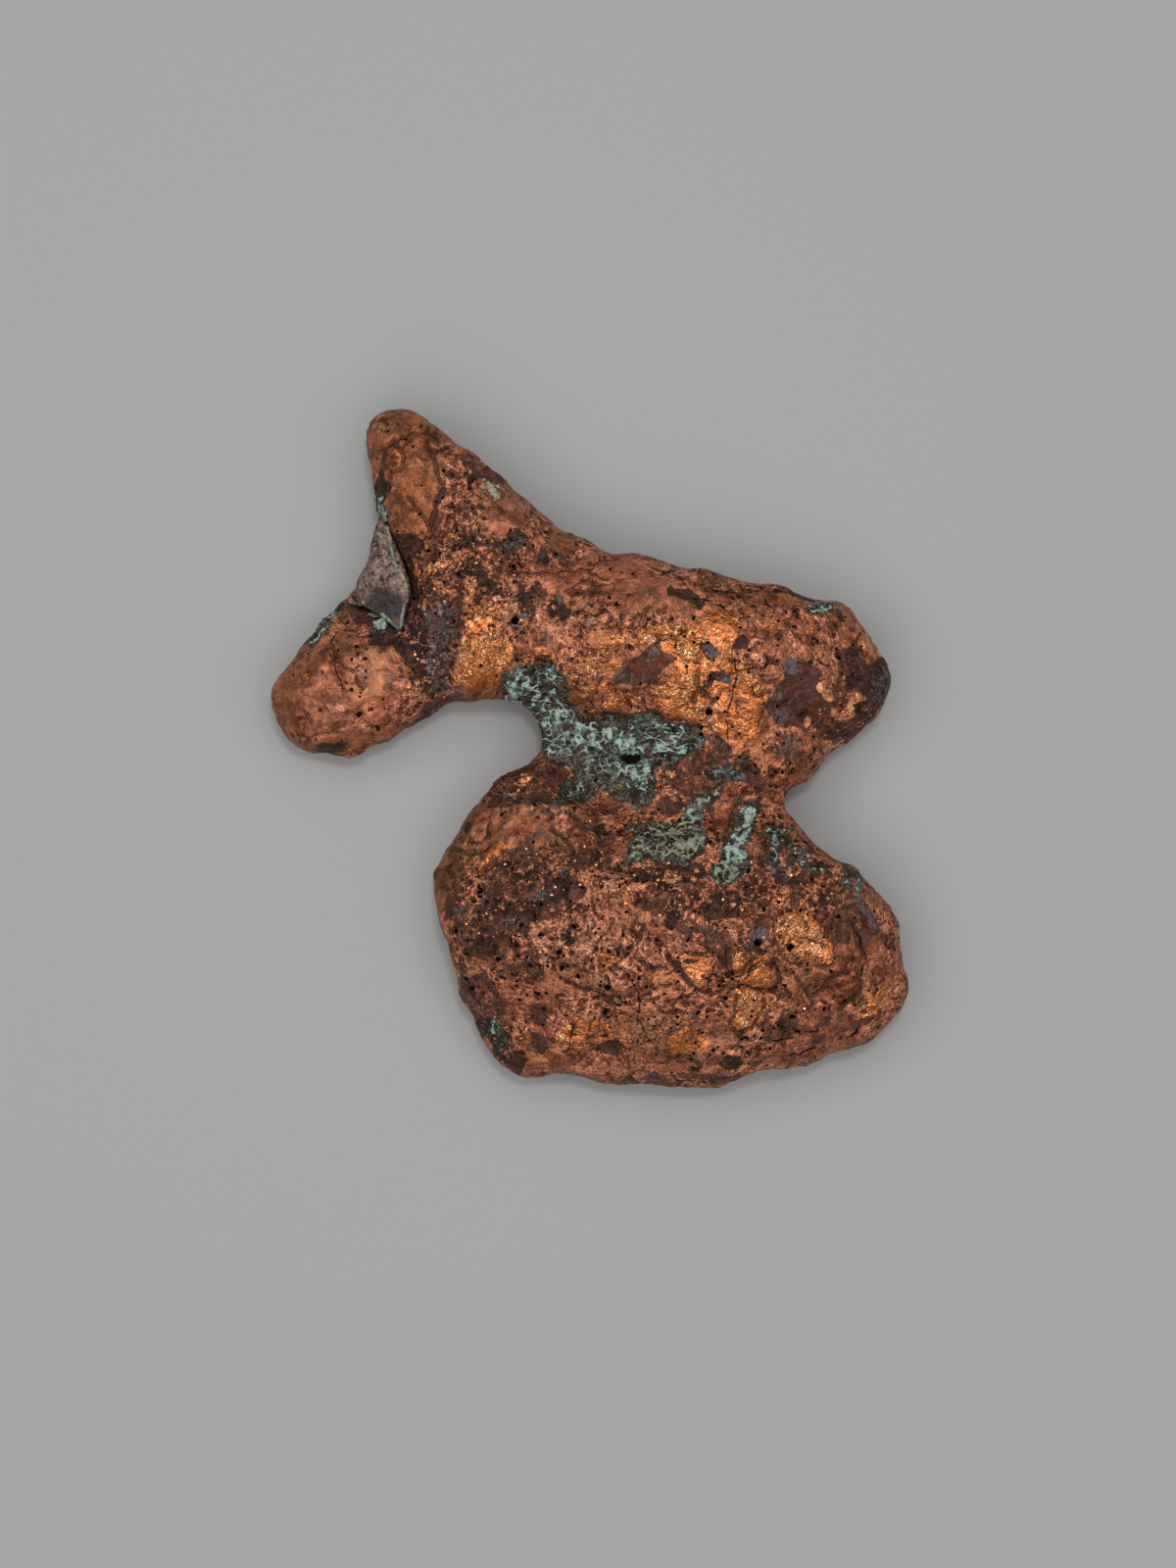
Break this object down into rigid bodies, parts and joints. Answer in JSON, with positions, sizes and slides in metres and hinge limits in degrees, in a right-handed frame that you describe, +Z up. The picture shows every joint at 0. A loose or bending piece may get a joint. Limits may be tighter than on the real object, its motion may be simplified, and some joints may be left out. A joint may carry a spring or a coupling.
{
  "type": "native copper nugget",
  "caption": "Waterworn lump of native copper with a horn, a prong, a thick bar and a broad lower lobe joined by a thin crusted neck, and a chip of host rock in its fork.",
  "frame": {"origin": "on the ground under the middle of the bounding box", "axes": "+Z up out of the side that shows, +Y towards the horn, +X towards the bar's round end"},
  "size_m": [0.0584, 0.0625, 0.0146],
  "materials": {
    "native_copper": "satin",
    "matrix_rock": "matte"
  },
  "bodies": {
    "root": {"copper_nugget": "native_copper", "matrix_rock": "matrix_rock"}
  },
  "joints": []
}
